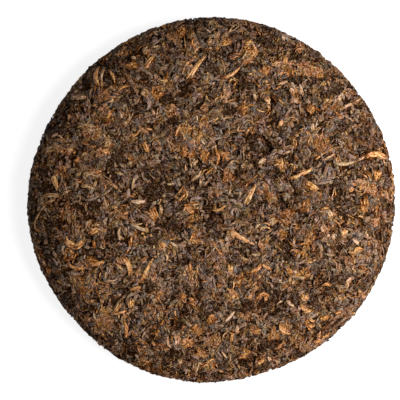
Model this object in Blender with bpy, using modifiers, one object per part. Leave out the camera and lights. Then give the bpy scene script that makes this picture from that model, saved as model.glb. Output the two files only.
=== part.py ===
"""Ripe tea cake: steamed dark leaf pressed in a cloth bag to a domed disc with a rounded rim.

The cake lies on its flat back, face up, with its origin under its middle on the ground.
Its back has the shallow hollow that the twisted mouth of the cloth bag leaves.
One turned core is covered with leaf-shaped bumps, and the largest stems and tips are fused on.
Lengths are in metres.
"""

import math
import random

import bmesh
import bpy
import numpy as np
from mathutils import Matrix, Vector
from mathutils.bvhtree import BVHTree

# Driving dimensions of the disc
CAKE_RADIUS = 0.0990
CAKE_HEIGHT = 0.0220
WIDEST_HEIGHT = 0.0085  # the rim is widest at this height
RESTING_RADIUS = 0.0820  # the flat ring that it rests on ends here
SHOULDER_POWER = 5.0  # larger is a flatter face with a tighter shoulder
HEEL_POWER = 2.5  # the same for the turn from the rim to the back
HOLLOW_RADIUS = 0.0270
HOLLOW_DEPTH = 0.0100
HOLLOW_POWER = 1.5  # above 1 rounds the lip of the hollow

# A hand-pressed disc isn't quite round: waves round the rim, how far they reach out, and where
RIM_WAVES = (
    (2, 0.00055, math.radians(28)),
    (3, 0.00044, math.radians(-32)),
    (4, 0.00044, math.radians(-4)),
    (5, 0.00022, math.radians(-33)),
    (6, 0.00020, math.radians(11)),
)

# Leaf-shaped bumps all over the skin
LEAF_COUNT = 1700
LEAF_LENGTH = (0.006, 0.015)
LEAF_WIDTH = (0.0024, 0.0044)
LEAF_RISE = (0.0005, 0.0014)
LEAF_BED = -0.0006  # the skin between the leaves lies this far below the turned shape
LEAF_FADE_HEIGHT = 0.0015  # bumps fade out below this height, towards the flat back
FLAT_BELOW = 0.00012  # what lies lower than this is pressed flat on the ground

# Fineness of the turned skin, and the faces kept of it
CURVE_STEPS = 200  # points that each curve of the section is worked out at
TURN_STEPS = 240
SKIN_SPACING = 0.0024
CORE_TRIANGLES = 6400
WELD_DISTANCE = 0.00001

# Stems and tips fused on the skin
STRIP_SPACING = 0.0034  # between the points along a strip
STRIP_SINK = 0.1  # share of its radius that a strip's middle line lies below the skin
STRIP_FORMS = {"stem": (0.00080, 0.25), "tip": (0.00095, 0.65)}  # radius, and how much the ends thin
FACE_STRIPS = 44
FACE_REACH = 0.92  # share of the cake's radius that the scattered strips of the face cover
RIM_STRIPS = 18
RIM_HEIGHTS = (0.005, 0.014)
RIM_SPREAD = 0.3  # how far a strip of the rim may lie off its even place, and off level
STRIP_LENGTH = (0.009, 0.020)
STRIP_BEND = 45.0  # degrees that a scattered strip may turn over its length
GOLDEN_ANGLE = math.pi * (3 - math.sqrt(5))
NEAR_LARGE = 0.008  # a scattered strip keeps this far from the large ones

# Where the large stems and tips lie, as places in a picture of the face
PICTURE_CENTRE = (210.8, 199.8)
METRES_PER_PIXEL = 0.000545
LARGE_STRIPS = {
    "long stem by the right edge": ("stem", (334, 163), (347, 160), (364, 154), (378, 155), (386, 159)),
    "stem right of the middle": ("stem", (288, 179), (301, 172), (315, 167)),
    "short stem beside it": ("stem", (321, 162), (328, 158), (335, 153)),
    "golden strip near the top": ("tip", (186, 82), (193, 70), (200, 60)),
    "slanting tip near the top": ("tip", (143, 65), (149, 60), (155, 54)),
    "upright tip at the upper left": ("tip", (97, 66), (97, 77), (98, 88)),
    "level tip at the left": ("tip", (70, 98), (79, 97), (88, 99)),
    "hanging tip at the top": ("tip", (212, 24), (214, 35), (217, 45)),
    "tip right of the top": ("tip", (220, 78), (230, 71), (241, 68)),
    "pale fork at the upper right, left arm": ("tip", (338, 102), (344, 88)),
    "pale fork at the upper right, right arm": ("tip", (345, 88), (352, 105)),
    "broad tip at the right edge": ("tip", (376, 166), (376, 174), (378, 182)),
    "leaning tip left of the middle": ("tip", (129, 224), (139, 229), (149, 232)),
    "middle tip": ("tip", (245, 200), (251, 193), (256, 184)),
    "golden tip below the middle": ("tip", (228, 229), (241, 238), (255, 245)),
    "hooked tip at the lower left": ("tip", (120, 255), (122, 268), (130, 280)),
    "upright tip at the lower left": ("tip", (142, 279), (149, 269), (154, 257)),
    "fork at the left, left arm": ("tip", (64, 236), (74, 249)),
    "fork at the left, right arm": ("tip", (75, 249), (83, 240)),
    "flat stem at the left": ("stem", (74, 215), (75, 228), (77, 241)),
    "tip at the left edge": ("tip", (45, 264), (48, 271), (51, 278)),
    "pale curved stem at the left": ("stem", (38, 157), (46, 149), (57, 146)),
    "tip below it": ("tip", (50, 176), (54, 184), (58, 192)),
    "tip at the lower right": ("tip", (284, 257), (290, 266), (294, 276)),
    "pale flake right of the middle": ("tip", (319, 227), (326, 212), (333, 218)),
    "yellow tip at the lower right": ("tip", (352, 237), (358, 247)),
}

# Finish
LEAF_COLOUR = (0.105, 0.060, 0.036, 1.0)
LEAF_ROUGHNESS = 0.62
SHARP_ANGLE = math.radians(50)


def clear_scene():
    for thing in list(bpy.data.objects):
        bpy.data.objects.remove(thing, do_unlink=True)


def new_collection(name):
    collection = bpy.data.collections.new(name)
    bpy.context.scene.collection.children.link(collection)
    return collection


def pressed_leaf_material():
    material = bpy.data.materials.new("pressed_leaf")
    material.use_nodes = True
    finish = material.node_tree.nodes["Principled BSDF"]
    finish.inputs["Base Color"].default_value = LEAF_COLOUR
    finish.inputs["Roughness"].default_value = LEAF_ROUGHNESS
    finish.inputs["Metallic"].default_value = 0.0
    return material


def quarter_turns(count):
    """Angles from 0 to 90 degrees, both ends included."""
    return [math.pi / 2 * step / (count - 1) for step in range(count)]


def evenly_spaced(points, spacing):
    """The polyline again, with points about one spacing apart and both ends kept."""
    points = np.array(points)
    along = np.concatenate([[0.0], np.cumsum(np.linalg.norm(np.diff(points, axis=0), axis=1))])
    stops = np.linspace(0.0, along[-1], max(2, round(along[-1] / spacing) + 1))
    return np.column_stack([np.interp(stops, along, points[:, axis]) for axis in (0, 1)])


def skin_profile():
    """Half of the section as (reach, height) rows: over the face, down the rim, under the back."""
    face = [
        (
            CAKE_RADIUS * math.cos(turn) ** (2 / SHOULDER_POWER),
            WIDEST_HEIGHT + (CAKE_HEIGHT - WIDEST_HEIGHT) * math.sin(turn),
        )
        for turn in reversed(quarter_turns(CURVE_STEPS))
    ]
    heel = [
        (
            RESTING_RADIUS + (CAKE_RADIUS - RESTING_RADIUS) * math.cos(turn) ** (2 / HEEL_POWER),
            WIDEST_HEIGHT * (1 - math.sin(turn) ** (2 / HEEL_POWER)),
        )
        for turn in quarter_turns(CURVE_STEPS)
    ]
    hollow = [
        (share * HOLLOW_RADIUS, HOLLOW_DEPTH * (1 - share**2) ** HOLLOW_POWER)
        for share in np.linspace(1.0, 0.0, CURVE_STEPS)
    ]
    outside = evenly_spaced(face + heel[1:], SKIN_SPACING)
    inside = evenly_spaced(hollow, SKIN_SPACING)
    profile = np.vstack([outside, inside])
    profile[0, 0] = 0.0
    profile[-1, 0] = 0.0
    profile[len(outside) - 1, 1] = 0.0
    profile[len(outside), 1] = 0.0
    return profile


def turned_mesh(profile):
    """The profile turned about the Z axis, as a closed mesh."""
    mesh = bpy.data.meshes.new("turning_profile")
    edges = [(i, i + 1) for i in range(len(profile) - 1)]
    mesh.from_pydata([(reach, 0.0, height) for reach, height in profile], edges, [])
    guide = bpy.data.objects.new("turning_profile", mesh)
    bpy.context.scene.collection.objects.link(guide)
    screw = guide.modifiers.new("turn", "SCREW")
    screw.angle = math.tau
    screw.steps = TURN_STEPS
    screw.render_steps = TURN_STEPS
    screw.use_merge_vertices = True
    screw.merge_threshold = WELD_DISTANCE
    graph = bpy.context.evaluated_depsgraph_get()
    turned = bpy.data.meshes.new_from_object(guide.evaluated_get(graph))
    bpy.data.objects.remove(guide, do_unlink=True)
    return turned


def rim_wave(angle):
    """How far the rim reaches out of its circle at an angle about the Z axis."""
    return sum(reach * np.cos(count * (angle - crest)) for count, reach, crest in RIM_WAVES)


def points_and_normals(mesh):
    points = np.empty(len(mesh.vertices) * 3)
    normals = np.empty(len(mesh.vertices) * 3)
    mesh.vertices.foreach_get("co", points)
    mesh.vertices.foreach_get("normal", normals)
    return points.reshape(-1, 3), normals.reshape(-1, 3)


def leaf_rise_at(points, normals, draw):
    """Height of the pressed leaf over each point of the skin: leaf-shaped bumps, the highest wins."""
    rise = np.zeros(len(points))
    reach = np.hypot(points[:, 0], points[:, 1])
    middles = draw.choice(len(points), LEAF_COUNT, p=reach / reach.sum())
    for middle in middles:
        normal = normals[middle]
        level = np.array(Vector(normal).orthogonal().normalized())
        turn = draw.uniform(0, math.tau)
        along = math.cos(turn) * level + math.sin(turn) * np.cross(normal, level)
        across = np.cross(normal, along)
        half_length = draw.uniform(*LEAF_LENGTH) / 2
        half_width = draw.uniform(*LEAF_WIDTH) / 2
        height = draw.uniform(*LEAF_RISE)
        offset = points - points[middle]
        near = (np.abs(offset) < half_length).all(axis=1)
        offset = offset[near]
        lengthwise = 1 - (offset @ along / half_length) ** 2
        crosswise = 1 - (offset @ across / half_width) ** 2
        bump = height * np.clip(lengthwise, 0, 1) * np.clip(crosswise, 0, 1) ** 0.5
        rise[near] = np.maximum(rise[near], bump)
    return rise


def press_leaf_into(mesh, draw):
    """Gives the turned skin its uneven rim and its leaf-shaped bumps, and leaves the resting ring flat."""
    points, normals = points_and_normals(mesh)
    reach = np.hypot(points[:, 0], points[:, 1])
    angle = np.arctan2(points[:, 1], points[:, 0])
    rise = LEAF_BED + leaf_rise_at(points, normals, draw)
    rise *= np.clip(points[:, 2] / LEAF_FADE_HEIGHT, 0, 1)
    points[:, :2] *= (1 + rim_wave(angle) / CAKE_RADIUS)[:, None]
    resting = points[:, 2] <= 0
    points += normals * rise[:, None]
    points[resting, 2] = 0.0
    print("leaf relief from", rise.min(), "to", rise.max(), "reach", reach.max())
    mesh.vertices.foreach_set("co", points.ravel())
    mesh.update()


def apply_modifiers(thing):
    graph = bpy.context.evaluated_depsgraph_get()
    finished = bpy.data.meshes.new_from_object(thing.evaluated_get(graph))
    thing.modifiers.clear()
    thing.data = finished


def thin_out(thing, triangles):
    """Collapses the skin's faces to the number wanted, keeping them where the relief is."""
    thin = thing.modifiers.new("thin", "DECIMATE")
    thin.use_collapse_triangulate = True
    thing.data.calc_loop_triangles()
    thin.ratio = triangles / len(thing.data.loop_triangles)
    apply_modifiers(thing)


def flatten_back(mesh):
    """Presses the ring round the hollow flat, so that the cake rests on a true plane."""
    points, _ = points_and_normals(mesh)
    flat = points[:, 2] < FLAT_BELOW
    points[flat, 2] = 0.0
    print("points on the ground:", int(flat.sum()))
    mesh.vertices.foreach_set("co", points.ravel())
    mesh.update()


def on_face(tree, pixel):
    """The point of the skin under a place in the picture of the face, and the normal there."""
    across = (pixel[0] - PICTURE_CENTRE[0]) * METRES_PER_PIXEL
    along = (PICTURE_CENTRE[1] - pixel[1]) * METRES_PER_PIXEL
    above = Vector((across, along, 2 * CAKE_HEIGHT))
    point, normal, _, _ = tree.ray_cast(above, Vector((0, 0, -1)))
    return point, normal


def along_route(tree, pixels):
    """Points on the skin, one strip spacing apart, along a route through places in the picture."""
    corners = [on_face(tree, pixel)[0] for pixel in pixels]
    flat = np.array([corner.xy for corner in corners])
    steps = np.concatenate([[0.0], np.cumsum(np.linalg.norm(np.diff(flat, axis=0), axis=1))])
    stops = np.linspace(0.0, steps[-1], max(3, round(steps[-1] / STRIP_SPACING) + 1))
    route = []
    for stop in stops:
        x, y = (np.interp(stop, steps, flat[:, axis]) for axis in (0, 1))
        point, normal, _, _ = tree.ray_cast(Vector((x, y, 2 * CAKE_HEIGHT)), Vector((0, 0, -1)))
        route.append((point, normal))
    return route


def crawl(tree, start, heading, length, bend):
    """Points on the skin from a start: each step goes ahead, drops to the skin and turns a little."""
    count = max(3, round(length / STRIP_SPACING) + 1)
    point, normal, _, _ = tree.find_nearest(start)
    route = [(point, normal)]
    for _ in range(count - 1):
        heading = (heading - normal * heading.dot(normal)).normalized()
        point, normal, _, _ = tree.find_nearest(point + heading * length / (count - 1))
        heading = Matrix.Rotation(bend / (count - 1), 3, normal) @ heading
        route.append((point, normal))
    return route


def strip_mesh(name, route, radius, taper):
    """A four-sided tube along a route on the skin, thinner at its ends by the taper."""
    data = bpy.data.curves.new(name, "CURVE")
    data.dimensions = "3D"
    data.bevel_depth = radius
    data.bevel_resolution = 0
    data.use_fill_caps = True
    spline = data.splines.new("POLY")
    spline.points.add(len(route) - 1)
    for step, (point, normal) in enumerate(route):
        share = step / (len(route) - 1)
        place = point - normal * radius * STRIP_SINK
        spline.points[step].co = (*place, 1.0)
        spline.points[step].radius = 1 - taper * (2 * share - 1) ** 2
    tube = bpy.data.objects.new(name, data)
    bpy.context.scene.collection.objects.link(tube)
    graph = bpy.context.evaluated_depsgraph_get()
    mesh = bpy.data.meshes.new_from_object(tube.evaluated_get(graph))
    bpy.data.objects.remove(tube, do_unlink=True)
    welded = bmesh.new()
    welded.from_mesh(mesh)
    bmesh.ops.remove_doubles(welded, verts=welded.verts, dist=WELD_DISTANCE)
    bmesh.ops.recalc_face_normals(welded, faces=welded.faces)
    welded.to_mesh(mesh)
    welded.free()
    return mesh


def add_strip(collection, route, kind):
    """One stem, even and blunt, or one tip, tapered, as an object of the collection."""
    radius, taper = STRIP_FORMS[kind]
    name = f"{kind}_{len(collection.objects):03d}"
    collection.objects.link(bpy.data.objects.new(name, strip_mesh(name, route, radius, taper)))


def large_strips(collection, tree):
    """The stems and tips that stand out on the face, and the middles of them."""
    middles = []
    for kind, *pixels in LARGE_STRIPS.values():
        route = along_route(tree, pixels)
        add_strip(collection, route, kind)
        middles += [point for point, _ in route]
    return middles


def scattered_strips(collection, tree, taken, draw):
    """More strips, spread evenly over the face by the golden angle and round the rim."""
    starts = []
    for count in range(FACE_STRIPS):
        reach = CAKE_RADIUS * FACE_REACH * math.sqrt((count + 0.5) / FACE_STRIPS)
        angle = count * GOLDEN_ANGLE
        starts.append(Vector((reach * math.cos(angle), reach * math.sin(angle), CAKE_HEIGHT)))
    for count in range(RIM_STRIPS):
        angle = (count + draw.uniform(-RIM_SPREAD, RIM_SPREAD)) * math.tau / RIM_STRIPS
        height = draw.uniform(*RIM_HEIGHTS)
        starts.append(Vector((CAKE_RADIUS * math.cos(angle), CAKE_RADIUS * math.sin(angle), height)))
    for start in starts:
        turn = draw.uniform(0, math.tau)
        length = draw.uniform(*STRIP_LENGTH)
        bend = math.radians(draw.uniform(-STRIP_BEND, STRIP_BEND))
        if start.z < CAKE_HEIGHT:
            slope = draw.uniform(-RIM_SPREAD, RIM_SPREAD)
            heading = Vector((-start.y, start.x, slope * CAKE_RADIUS)).normalized()
        else:
            heading = Vector((math.cos(turn), math.sin(turn), 0.0))
        route = crawl(tree, start, heading, length, bend)
        if min((point - other).length for point, _ in route for other in taken) > NEAR_LARGE:
            add_strip(collection, route, draw.choice(("stem", "tip", "tip")))


def fuse(core, collection):
    """One union of the core with every strip of the collection, which is then removed."""
    union = core.modifiers.new("fuse strips", "BOOLEAN")
    union.operation = "UNION"
    union.operand_type = "COLLECTION"
    union.collection = collection
    union.solver = "EXACT"
    apply_modifiers(core)
    for strip in list(collection.objects):
        bpy.data.objects.remove(strip, do_unlink=True)
    bpy.data.collections.remove(collection)


def connected_faces(first):
    """Every face that can be reached from the first across shared edges."""
    found = {first}
    waiting = [first]
    while waiting:
        face = waiting.pop()
        for edge in face.edges:
            for neighbour in edge.link_faces:
                if neighbour not in found:
                    found.add(neighbour)
                    waiting.append(neighbour)
    return found


def keep_largest_skin(mesh):
    """Drops every closed skin but the largest, which fills sealed hollows and drops loose scraps."""
    shape = bmesh.new()
    shape.from_mesh(mesh)
    bmesh.ops.triangulate(shape, faces=shape.faces)
    left = set(shape.faces)
    skins = []
    while left:
        skin = connected_faces(next(iter(left)))
        left -= skin
        skins.append(skin)
    skins.sort(key=len)
    for skin in skins[:-1]:
        bmesh.ops.delete(shape, geom=list(skin), context="FACES")
    print("skins dropped:", len(skins) - 1, "triangles:", len(shape.faces))
    shape.to_mesh(mesh)
    shape.free()


def centre_on_back(mesh):
    """Moves the mesh so that its box is centred over the origin, with its back on the ground."""
    points, _ = points_and_normals(mesh)
    low, high = points.min(axis=0), points.max(axis=0)
    mesh.transform(Matrix.Translation((-(low[0] + high[0]) / 2, -(low[1] + high[1]) / 2, -low[2])))
    print("cake measures", np.round((high - low) * 1000, 2), "mm")


def make_tea_cake(collection):
    strip_collection = new_collection("stems and tips")
    relief_draw = np.random.default_rng(357)
    strip_draw = random.Random(7)
    mesh = turned_mesh(skin_profile())
    press_leaf_into(mesh, relief_draw)
    cake = bpy.data.objects.new("tea_cake", mesh)
    collection.objects.link(cake)
    thin_out(cake, CORE_TRIANGLES)
    flatten_back(cake.data)
    graph = bpy.context.evaluated_depsgraph_get()
    tree = BVHTree.FromObject(cake, graph)
    taken = large_strips(strip_collection, tree)
    scattered_strips(strip_collection, tree, taken, strip_draw)
    print("strips fused on:", len(strip_collection.objects))
    fuse(cake, strip_collection)
    keep_largest_skin(cake.data)
    centre_on_back(cake.data)
    cake.data.shade_smooth()
    cake.data.set_sharp_from_angle(angle=SHARP_ANGLE)
    cake.data.materials.clear()
    cake.data.materials.append(pressed_leaf_material())


clear_scene()
make_tea_cake(new_collection("ripe tea cake"))
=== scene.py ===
# %% [markdown]
# # A cake of ripe tea
# A tea cake is dark, fermented leaf that was steamed, put in a cloth bag and pressed to a disc.
# Seen close, its skin is a mat of thousands of twisted strips of leaf, each a millimetre or so
# wide, with paler stems and golden leaf tips between them and black gaps where two strips part.
# A smooth disc with a picture of leaf on it would look flat at the rim and in slanting light. So
# this lesson builds the mat as real geometry: a dark bed gives the cake its form, and joined
# meshes of small bent strips, one for each kind of leaf, are laid on it.

import math

import bmesh
import bpy
import numpy as np
from mathutils import Matrix, Vector


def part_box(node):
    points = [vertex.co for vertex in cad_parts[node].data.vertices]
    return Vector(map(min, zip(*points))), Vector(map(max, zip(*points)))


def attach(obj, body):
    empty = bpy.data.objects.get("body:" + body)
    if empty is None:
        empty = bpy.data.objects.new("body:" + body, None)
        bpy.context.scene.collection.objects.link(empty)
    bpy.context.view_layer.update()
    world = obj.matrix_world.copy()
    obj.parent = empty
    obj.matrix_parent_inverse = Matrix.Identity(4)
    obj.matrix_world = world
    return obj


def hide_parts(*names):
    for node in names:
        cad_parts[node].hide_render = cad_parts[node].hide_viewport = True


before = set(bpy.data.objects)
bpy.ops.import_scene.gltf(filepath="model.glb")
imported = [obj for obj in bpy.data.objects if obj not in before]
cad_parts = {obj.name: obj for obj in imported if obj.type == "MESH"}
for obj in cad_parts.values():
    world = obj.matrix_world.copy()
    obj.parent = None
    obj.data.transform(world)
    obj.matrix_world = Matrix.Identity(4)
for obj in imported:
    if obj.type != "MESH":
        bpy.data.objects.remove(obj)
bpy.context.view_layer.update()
MM = 0.001

# %% [markdown]
# ## The size of the skin
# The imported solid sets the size. Its box holds the highest leaf, so the smooth skin that the leaf
# is laid on lies a little inside it. The pressed back is one flat ring, and the middle of that
# ring is the axis that the cake was turned about.

# %% Read the skin's size and axis from the solid
LEAF_PROUD = 1.2 * MM  # how far the highest leaf stands out of the face
RIM_PROUD = 0.7 * MM  # the same on the rim
GROUND_LEVEL = 0.01 * MM  # faces with their middle below this rest on the ground
low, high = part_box("tea_cake")
SKIN_RADIUS = (high.x - low.x + high.y - low.y) / 4 - RIM_PROUD
SKIN_HEIGHT = high.z - LEAF_PROUD

def flat_ring_middle(solid):
    """The middle of the faces that lie on the ground, weighted by their area."""
    resting = [face for face in solid.data.polygons if face.center.z < GROUND_LEVEL]
    area = sum(face.area for face in resting)
    return sum((face.center * face.area for face in resting), Vector()) / area

AXIS = flat_ring_middle(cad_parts["tea_cake"])
print("skin radius and height in mm:", round(SKIN_RADIUS / MM, 2), round(SKIN_HEIGHT / MM, 2))
print("axis in mm:", [round(part / MM, 2) for part in AXIS])

# %% [markdown]
# ## The camera
# The picture looks straight down on the cake. A very long lens keeps the rim from leaning, and the
# camera stands a little to one side, so that the cake is as far off the middle of the frame as
# in the picture.

# %% Set up the camera
FRAME_PIXELS = 400
CAKE_PIXELS = 368.2  # width of the cake in the picture
CAKE_MIDDLE = (211.0, 198.7)  # its middle in the picture
RIM_LEVEL = 11 * MM  # height of the outline that the picture shows
LENS_LENGTH = 300  # mm
SENSOR_WIDTH = 36  # mm
NEAREST_SHOWN = 0.05
PIXEL = (high.x - low.x) / CAKE_PIXELS
CAMERA_REACH = FRAME_PIXELS * PIXEL / SENSOR_WIDTH * LENS_LENGTH

def new_object(name, data):
    """An object in the scene that holds the data."""
    made = bpy.data.objects.new(name, data)
    bpy.context.scene.collection.objects.link(made)
    return made

lens = bpy.data.cameras.new("camera")
lens.lens = LENS_LENGTH
lens.sensor_width = SENSOR_WIDTH
lens.clip_start = NEAREST_SHOWN
camera = new_object("camera", lens)
camera.location = (
    -(CAKE_MIDDLE[0] - FRAME_PIXELS / 2) * PIXEL,
    (CAKE_MIDDLE[1] - FRAME_PIXELS / 2) * PIXEL,
    RIM_LEVEL + CAMERA_REACH,
)
bpy.context.scene.camera = camera
print("a pixel is", round(PIXEL / MM, 4), "mm, the camera is", round(CAMERA_REACH, 3), "m away")

# %% [markdown]
# ## Light
# One broad light on the right shapes the leaf and leaves the left rim dark, and an even pale
# surrounding fills the shadows. The standard view keeps colours as they are worked out.

# %% Place the lights
KEY_PLACE = Vector((0.50, -0.10, 0.36))
KEY_AIM = Vector((0, 0, 0.01))
KEY_SIZE = 0.70
KEY_POWER = 13.2
SURROUNDING = 0.25
WHITE = (1.0, 1.0, 1.0, 1.0)

key = bpy.data.lights.new("key", "AREA")
key.shape = "DISK"
key.size = KEY_SIZE
key.energy = KEY_POWER
lamp = new_object("key", key)
lamp.location = KEY_PLACE
lamp.rotation_euler = (KEY_AIM - KEY_PLACE).to_track_quat("-Z", "Y").to_euler()
studio = bpy.data.worlds.new("studio")
studio.use_nodes = True
studio.node_tree.nodes["Background"].inputs["Color"].default_value = WHITE
studio.node_tree.nodes["Background"].inputs["Strength"].default_value = SURROUNDING
bpy.context.scene.world = studio
bpy.context.scene.view_settings.view_transform = "Standard"
bpy.context.scene.view_settings.look = "None"
print("the key light is", round((KEY_PLACE - KEY_AIM).length, 2), "m from the cake")

# %% [markdown]
# ## Shader maths as plain expressions
# A material is easier to read as arithmetic than as a web of nodes. `Wire` stands for one
# node's output, and adding or multiplying wires adds the Math nodes. `Recipe` holds a material
# while it is built, and its one method `add` makes any other node.

# %% Write the two helpers
class Recipe:
    """A material in the making."""

    def __init__(self, name):
        self.material = bpy.data.materials.new(name)
        self.material.use_nodes = True
        self.tree = self.material.node_tree
        self.shader = self.tree.nodes["Principled BSDF"]

    def feed(self, socket, value):
        if isinstance(value, Wire):
            self.tree.links.new(value.socket, socket)
        else:
            socket.default_value = value

    def add(self, kind, settings=None, inputs=None, output=0):
        node = self.tree.nodes.new(kind)
        for name, value in (settings or {}).items():
            if name == "stops":
                set_stops(node.color_ramp, value)
            else:
                setattr(node, name, value)
        for name, value in (inputs or {}).items():
            self.feed(active(node.inputs, name), value)
        return Wire(self, active(node.outputs, output))

    def set(self, **values):
        for name, value in values.items():
            self.feed(self.shader.inputs[name.replace("_", " ")], value)
        return self.material


class Wire:
    """The output of one node, to be used in arithmetic."""

    def __init__(self, recipe, socket):
        self.recipe = recipe
        self.socket = socket

    def maths(self, operation, left, right):
        return self.recipe.add("ShaderNodeMath", {"operation": operation}, {0: left, 1: right})

    def __add__(self, other):
        return self.maths("ADD", self, other)

    def __radd__(self, other):
        return self.maths("ADD", other, self)

    def __sub__(self, other):
        return self.maths("SUBTRACT", self, other)

    def __rsub__(self, other):
        return self.maths("SUBTRACT", other, self)

    def __mul__(self, other):
        return self.maths("MULTIPLY", self, other)

    def __rmul__(self, other):
        return self.maths("MULTIPLY", other, self)


def active(sockets, name):
    """The socket of that name or number that the node's settings leave in use."""
    if isinstance(name, int):
        return sockets[name]
    return next(socket for socket in sockets if socket.name == name and socket.enabled)


def set_stops(ramp, stops):
    """Gives a colour ramp its stops, as pairs of a place and a colour."""
    while len(ramp.elements) < len(stops):
        ramp.elements.new(1.0)
    for element, (place, colour) in zip(ramp.elements, stops):
        element.position = place
        element.color = (*colour, 1.0)

# %% [markdown]
# ## The floor
# The cake lies on a bright, even ground. It is part of the studio and not of the cake.

# %% Lay the floor
FLOOR_SIDE = 6.0
FLOOR_GLOW = 0.84
FLOOR_GREY = 0.25  # low, so that the shadow on it stays light
FLOOR_ROUGH = 0.9

def make_floor():
    shape = bmesh.new()
    bmesh.ops.create_grid(shape, x_segments=1, y_segments=1, size=FLOOR_SIDE / 2)
    mesh = bpy.data.meshes.new("floor")
    shape.to_mesh(mesh)
    shape.free()
    mesh.materials.append(
        Recipe("white paper").set(
            Base_Color=(FLOOR_GREY, FLOOR_GREY, FLOOR_GREY, 1.0),
            Roughness=FLOOR_ROUGH,
            Emission_Color=WHITE,
            Emission_Strength=FLOOR_GLOW,
        )
    )
    return new_object("floor", mesh)

floor = make_floor()
print("the floor is", round(floor.dimensions.x, 1), "m wide")

# %% [markdown]
# ## The skin as one turned curve
# Every strip of leaf follows the skin of the cake, so its form is worked out once: half of the
# section, from the middle of the face over the shoulder, down the rim, under the heel to the
# flat resting ring and up into the hollow of the back. The face and the heel are superellipses,
# which stay flat for long and then turn quickly, as a pressed cake does. Any point near the
# cake can then be dropped on the nearest point of the turned curve.

# %% Work out the section
WIDEST_HEIGHT = 8.5 * MM
RESTING_RADIUS = 82 * MM
SHOULDER_POWER = 5.0
HEEL_POWER = 2.5
HEEL_END = 1.2 * MM  # the back begins where the heel comes this near to the ground
HOLLOW_RADIUS = 27 * MM
HOLLOW_DEPTH = 10 * MM
HOLLOW_POWER = 1.5
CURVE_POINTS = 400
HOLLOW_POINTS = 200
SECTION_STEP = 0.5 * MM

def unit(vectors):
    return vectors / np.linalg.norm(vectors, axis=-1, keepdims=True)

def way_along(rows):
    """How far along a line each of its points lies."""
    return np.concatenate([[0.0], np.cumsum(np.linalg.norm(np.diff(rows, axis=0), axis=1))])

def evenly_spaced(rows, step):
    along = way_along(rows)
    stops = np.linspace(0.0, along[-1], round(along[-1] / step) + 1)
    return np.column_stack([np.interp(stops, along, rows[:, axis]) for axis in (0, 1)])

def skin_section():
    """Rows of (reach, height) along half of the section."""
    turn = np.radians(np.linspace(90, 0, CURVE_POINTS))
    face = np.column_stack([
        SKIN_RADIUS * np.cos(turn) ** (2 / SHOULDER_POWER),
        WIDEST_HEIGHT + (SKIN_HEIGHT - WIDEST_HEIGHT) * np.sin(turn),
    ])
    turn = turn[::-1]
    heel = np.column_stack([
        RESTING_RADIUS + (SKIN_RADIUS - RESTING_RADIUS) * np.cos(turn) ** (2 / HEEL_POWER),
        WIDEST_HEIGHT * (1 - np.sin(turn) ** (2 / HEEL_POWER)),
    ])
    share = np.linspace(1, 0, HOLLOW_POINTS)
    hollow = np.column_stack([
        share * HOLLOW_RADIUS,
        HOLLOW_DEPTH * (1 - share**2) ** HOLLOW_POWER,
    ])
    return evenly_spaced(np.vstack([face, heel[1:], hollow]), SECTION_STEP)

SECTION = skin_section()
ALONG = np.arange(len(SECTION)) * np.linalg.norm(SECTION[1] - SECTION[0])
TANGENT = unit(np.gradient(SECTION, axis=0))
OUTWARD = np.column_stack([-TANGENT[:, 1], TANGENT[:, 0]])
HEEL_ALONG = ALONG[np.argmax((SECTION[:, 1] < HEEL_END) & (SECTION[:, 0] < SKIN_RADIUS))]
print("section and its part above the back in mm:", round(ALONG[-1] / MM), round(HEEL_ALONG / MM))

# %% [markdown]
# ## Clefts and waves
# A cloth bag leaves the rim a little out of round, and between some leaves the cake has opened.
# Each cleft is a line of the picture, turned into places on the face, and the skin sinks along
# it, so that whatever is laid there sinks with it.

# %% List the clefts and drop points on the skin
# Waves of the rim: how many, how far they reach out in mm, and where in degrees
RIM_WAVES = ((2, 0.55, 28), (3, 0.44, -32), (4, 0.44, -4), (5, 0.22, -33), (6, 0.20, 11))
CLEFT_DEPTH = 2.6 * MM
CLEFT_WIDTH = 0.9 * MM
FACE_PIXEL = PIXEL * (1 - (SKIN_HEIGHT - RIM_LEVEL) / CAMERA_REACH)  # the face is nearer
ROWS_AT_ONCE = 20000

def on_face_plane(spot):
    """Where a spot of the picture lies over the face."""
    return np.array([
        camera.location.x + (spot[0] - FRAME_PIXELS / 2) * FACE_PIXEL,
        camera.location.y - (spot[1] - FRAME_PIXELS / 2) * FACE_PIXEL,
    ])

CLEFTS = [
    (on_face_plane(start), on_face_plane(end))
    for start, end in (
        ((271, 95), (272, 109)), ((263, 137), (272, 150)), ((254, 162), (255, 171)),
        ((275, 190), (288, 207)), ((284, 250), (294, 259)),
    )
]

def rim_scale(angle):
    waves = sum(
        out * np.cos(count * (angle - np.radians(crest))) for count, out, crest in RIM_WAVES
    )
    return 1 + waves * MM / SKIN_RADIUS

def place_on_skin(along, angle):
    """Points of the skin, and the normals there, from a way along the section and an angle."""
    reach, height, out, up = [
        np.interp(along, ALONG, column)[..., None] for column in (*SECTION.T, *OUTWARD.T)
    ]
    circle = np.stack([np.cos(angle), np.sin(angle)], axis=-1)
    points = np.concatenate([circle * reach * rim_scale(angle)[..., None], height], axis=-1)
    points[..., :2] += AXIS[:2]
    return points, unit(np.concatenate([circle * out, up], axis=-1))

def cleft_depth(points):
    """How far points of the face sink because they lie in or near a cleft."""
    depth = np.zeros(points.shape[:-1])
    for start, end in CLEFTS:
        run = end - start
        share = np.clip(((points[..., :2] - start) @ run) / (run @ run), 0, 1)
        away = np.linalg.norm(points[..., :2] - start - share[..., None] * run, axis=-1)
        depth = np.maximum(depth, CLEFT_DEPTH * np.exp(-(away / CLEFT_WIDTH) ** 2))
    return depth * (points[..., 2] > WIDEST_HEIGHT)

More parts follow.
